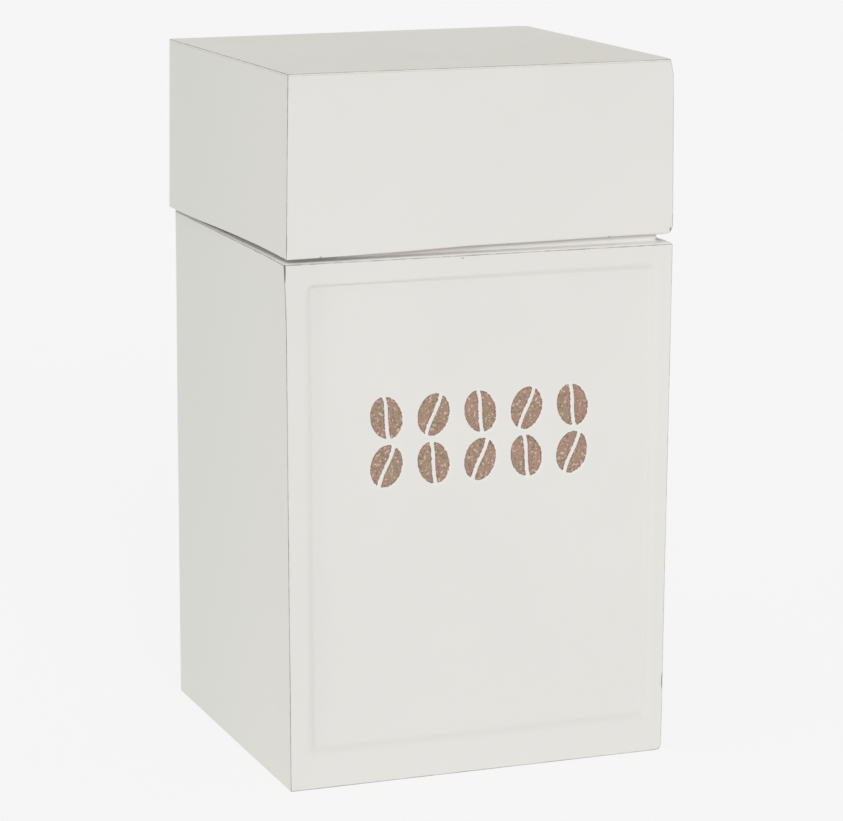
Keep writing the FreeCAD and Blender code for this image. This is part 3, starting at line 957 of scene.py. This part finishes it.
def lid_section():
    """The lid's wall: turned in under the top plate, and doubled inwards at its open edge."""
    foot, top = lid_low.z, lid_high.z
    rows = coarse_rows(foot + SHEET, top - 0.3 * MM)
    cut = Section()
    cut.go(PAINT, (FLANGE, top), (2 * MM, top))
    cut.fold(PAINT, WALL_TOP_R, top - WALL_TOP_R, WALL_TOP_R, 90, 180, 3)
    cut.go(PAINT, *[(0, z) for z in reversed(rows)])
    cut.fold(PAINT, SHEET, foot + SHEET, SHEET, 180, 360, 8)
    # Painted light: the hem's inner run is made brighter to lift the shade in the gap.
    cut.go(GAP_LIT, (2 * SHEET, foot + 2 * MM), (2 * SHEET, foot + HEM))
    cut.go(TIN, (SHEET + FIT, foot + HEM), (SHEET, foot + HEM))
    inside = spaced((foot + HEM + 1 * MM, 6 * MM), (top - TUCK - 0.3 * MM,))
    cut.go(TIN, *[(SHEET, z) for z in inside])
    cut.fold(TIN, TUCK, top - TUCK, TUCK_R, 180, 90, 2)
    return cut.go(TIN, (FLANGE, top - SHEET))


def top_section():
    """The lid's top plate, closed across the middle."""
    low, high = top_low.z, top_high.z
    middle = (LID_D - 2 * LID_FLARE) / 2
    cut = Section()
    cut.go(PAINT, (middle, low), (20 * MM, low), (8 * MM, low), (2 * MM, low))
    cut.go(PAINT, (0.1 * MM, low), (0, low + 0.08 * MM))
    cut.fold(PAINT, CRISP_R, high - CRISP_R, CRISP_R, 180, 90)
    fine = spaced((0.6 * MM, 0.35 * MM), (2 * MM, 1.5 * MM), (6.5 * MM, 6 * MM), (48 * MM,))
    return cut.go(PAINT, *[(inset, high) for inset in fine], (middle, high))


def top_shape(points, place):
    """The top plate lies on the walls, and its middle is a little hollow."""
    moved = points.copy()
    off_edge = np.minimum(LID_W / 2 - np.abs(points[:, 0]), LID_D / 2 - np.abs(points[:, 1]))
    hollow = smooth(3 * MM, 40 * MM, off_edge)
    moved[:, 2] -= hollow * (0.14 + 0.10 * wander(points, 38 * MM, 14)) * MM
    return lid_shape(moved, place)


lid_edges = box_edges(
    foot=(*lid_size(lid_low.z), lid_low.z),
    top=(*lid_size(top_high.z), top_high.z),
    uprights=(0, -0.02, 0.3, 0.3),
    foot_holds=(0.1, 0.1, 0.3, 0.1),
    top_holds=(0, 0.05, 0.3, 0),
)


def make_lid_front():
    places, marks = front_places(side_places(0, *PLAIN_SIDE)), edge_marks(lid_edges)
    face = swept("lid_face", lid_section(), places, lid_size, WALL_RADII, lid_front_shape, marks)
    width, depth = LID_W - 2 * LID_FLARE, LID_D - LID_FLARE
    laps = lap_strips("lid_lap", width, depth, lid_low.z + HEM + 1 * MM, lid_high.z - SHEET, lid_shape)
    sheet = joined_mesh("lid_front_sheet", [face, *laps])
    finish_wall("lid_front_sheet", sheet, lid_paint, "lid", "lid_front_plate")


def make_lid_wrap():
    make_wrap("lid_wrap_sheet", lid_section(), lid_size, lid_wrap_shape, lid_edges, "lid", "lid_wrap")


def make_lid_top():
    section, places, marks = top_section(), ring_places(6, *PLAIN_SIDE), edge_marks(lid_edges)
    mesh = swept("lid_top_sheet", section, places, top_size, WALL_RADII, top_shape, marks, True, True)
    finish_piece("lid_top_sheet", mesh, (top_paint, tin), "lid", "lid_top_plate")


# ------------ solder

BEAD_STEP = 1.6 * MM
BEAD_R, LID_SEAM_BEAD_R, LID_TOP_BEAD_R = 0.42 * MM, 0.40 * MM, 0.34 * MM


def bead_mesh(name, path, radius, closed, seed):
    """A lumpy bead that follows a path of points, thinner at its ends if it has any."""
    lumps = 1 + 0.28 * wander(path, 2.2 * MM, seed)
    count, sides = len(path), 8
    points = []
    for i, centre in enumerate(path):
        ahead = path[(i + 1) % count] if closed or i < count - 1 else centre
        behind = path[i - 1] if closed or i > 0 else centre
        along = Vector(ahead - behind).normalized()
        side = along.orthogonal() if abs(along.z) > 0.9 else Vector((0, 0, 1))
        across = along.cross(side).normalized()
        up = across.cross(along)
        taper = 1 if closed else min(1, 0.35 + 0.2 * min(i, count - 1 - i))
        for j in range(sides):
            angle = 2 * math.pi * j / sides
            offset = across * math.cos(angle) + up * math.sin(angle)
            points.append(tuple(Vector(centre) + offset * float(radius * lumps[i] * taper)))
    return ringed_mesh(name, points, sides, closed)


def round_path(size, radii, inset, z):
    """Points all round a rectangle at one height, evenly spaced."""
    width, depth = size(np.array(z))
    count = int(2 * (width + depth) / BEAD_STEP)
    places = ring_places(3, (0, 4 / count), (1,))
    x, y = round_point(np.array(places), np.array(inset), width, depth, radii)
    return np.stack([x, y, np.full(len(places), z)], axis=-1)


def upright_paths(width, depth, low, high):
    """Two upright lines where the front sheet's laps end against the side walls."""
    for side in (-1, 1):
        x = side * (width / 2 - SHEET - 0.25 * MM)
        y = -depth / 2 + SHEET + LAP + 0.25 * MM
        yield np.array([(x, y, z) for z in spaced((low, 1.2 * MM), (high,))])


def make_bead(name, paths, radius, closed, body, node_name, shape):
    """A piece of solder: one bead along each path, moved as the sheets that it joins are."""
    meshes = []
    for i, path in enumerate(paths):
        placed = shape(path, np.full(len(path), ANYWHERE))
        meshes.append(bead_mesh(f"{name}_{i}", placed, radius, closed, i + len(name)))
    finish_piece(name, joined_mesh(name, meshes), (solder,), body, node_name)


def make_solder():
    uprights = upright_paths(BODY_W, BODY_D, pan_high.z + 2.5 * MM, BODY_H - 2.5 * MM)
    make_bead("front_seam_bead", uprights, BEAD_R, False, "body", "front_seam_solder", body_shape)
    around = round_path(body_size, WALL_RADII, SHEET + 0.35 * MM, pan_high.z + 0.2 * MM)
    make_bead("base_bead", [around], BEAD_R, True, "body", "base_solder", body_shape)
    around = round_path(neck_size, NECK_RADII, -0.3 * MM, BODY_H - SHEET - 0.75 * MM)
    make_bead("neck_bead", [around], BEAD_R, True, "body", "neck_solder", neck_shape)
    width, depth = LID_W - LID_FLARE, LID_D - LID_FLARE
    uprights = upright_paths(width, depth, lid_low.z + HEM + 2 * MM, lid_high.z - 2 * MM)
    make_bead("lid_seam_bead", uprights, LID_SEAM_BEAD_R, False, "lid", "lid_seam_solder", lid_shape)
    around = round_path(top_size, WALL_RADII, FLANGE + 0.25 * MM, lid_high.z - 0.3 * MM)
    make_bead("lid_top_bead", [around], LID_TOP_BEAD_R, True, "lid", "lid_top_solder", lid_shape)


# ------------ stage, light and camera

TARGET = (2.13 * MM, 0, 90.66 * MM)         # what the camera and the lights point at
CAMERA_AZIMUTH, CAMERA_ELEVATION, CAMERA_ROLL = -20.87, 11.99, 0.262    # degrees
CAMERA_DISTANCE = 0.94166
SENSOR_WIDTH, FOCAL_LENGTH = 36, 142.08     # millimetres of film
SKY = 0.70
# Each light's name, strength, how wide it looks, azimuth and elevation, with the angles in degrees.
LIGHTS = (
    ("key", 0.820, 30, -5.3, 15.1),
    ("side", 0.275, 8, -78, 3),
    ("overhead", 0.14, 60, 0, 89),
)
FLOOR_HALF = 8.0
FLOOR_TONES = (0.198, 0.198, 0.198), (0.202, 0.202, 0.202)
FLOOR_GLOW = 0.757
FLOOR_GLOW_AHEAD = 0.445                    # nearer than the front of the picture
FLOOR_FADE = (-230 * MM, -108 * MM)         # where the one turns to the other, along FLOOR_TURN
FLOOR_TURN = (0, 0, math.radians(21))       # turns the camera's direction to -Y


def make_floor():
    """A plain pale floor, lit from within like a light table, so that hardly any shadow falls on it."""
    material, tree, shader = new_material("pale_floor")
    tone = ranged(tree, grain(tree, 0.5, 2), 0.3, 0.7)
    turned = node(tree, "Mapping", {"Vector": object_place(tree), "Rotation": FLOOR_TURN})
    ahead = node(tree, "SeparateXYZ", {"Vector": turned.outputs["Vector"]}).outputs["Y"]
    glow = ranged(tree, ahead, *FLOOR_FADE, FLOOR_GLOW_AHEAD, FLOOR_GLOW)
    tree.links.new(glow, shader.inputs["Emission Strength"])
    tree.links.new(mixed(tree, tone, *FLOOR_TONES), shader.inputs["Base Color"])
    shader.inputs["Roughness"].default_value = 1.0
    shader.inputs["Specular IOR Level"].default_value = 0.0
    shader.inputs["Emission Color"].default_value = (1, 1, 1, 1)
    mesh = bpy.data.meshes.new("floor")
    corners = [(x * FLOOR_HALF, y * FLOOR_HALF, 0) for x, y in zip(CORNER_X.tolist(), CORNER_Y.tolist())]
    mesh.from_pydata(corners, [], [(0, 1, 2, 3)])
    mesh.materials.append(material)
    floor = bpy.data.objects.new("floor", mesh)
    bpy.context.scene.collection.objects.link(floor)


def aim(thing, place, roll=0.0):
    """Puts a light or the camera at a place, pointing at TARGET."""
    thing.location = place
    turn = (Vector(TARGET) - place).to_track_quat("-Z", "Y").to_matrix()
    thing.rotation_euler = (turn @ Matrix.Rotation(roll, 3, "Z")).to_euler()


def around_tin(azimuth, elevation, distance):
    """A place at an azimuth from the front, an elevation and a distance. Azimuth grows towards +X."""
    a, e = math.radians(azimuth), math.radians(elevation)
    away = Vector((math.sin(a) * math.cos(e), -math.cos(a) * math.cos(e), math.sin(e)))
    return Vector(TARGET) + distance * away


def make_lights():
    """An even sky, and suns, which are the same all over."""
    world = bpy.data.worlds.new("studio")
    bpy.context.scene.world = world
    world.use_nodes = True
    background = world.node_tree.nodes["Background"]
    background.inputs["Color"].default_value = (1, 1, 1, 1)
    background.inputs["Strength"].default_value = SKY
    for name, strength, size, azimuth, elevation in LIGHTS:
        light = bpy.data.lights.new(name, "SUN")
        light.energy = strength
        light.angle = math.radians(size)
        lamp = bpy.data.objects.new(name, light)
        bpy.context.scene.collection.objects.link(lamp)
        aim(lamp, around_tin(azimuth, elevation, 2.0))


def make_camera():
    camera = bpy.data.cameras.new("camera")
    camera.sensor_width = SENSOR_WIDTH
    camera.lens = FOCAL_LENGTH
    viewer = bpy.data.objects.new("camera", camera)
    bpy.context.scene.collection.objects.link(viewer)
    place = around_tin(CAMERA_AZIMUTH, CAMERA_ELEVATION, CAMERA_DISTANCE)
    aim(viewer, place, math.radians(CAMERA_ROLL))
    bpy.context.scene.camera = viewer


bpy.context.scene.view_settings.view_transform = "Standard"
make_front_plate()
make_body_wrap()
make_base_pan()
make_neck()
make_lid_front()
make_lid_wrap()
make_lid_top()
make_solder()
make_floor()
make_lights()
make_camera()
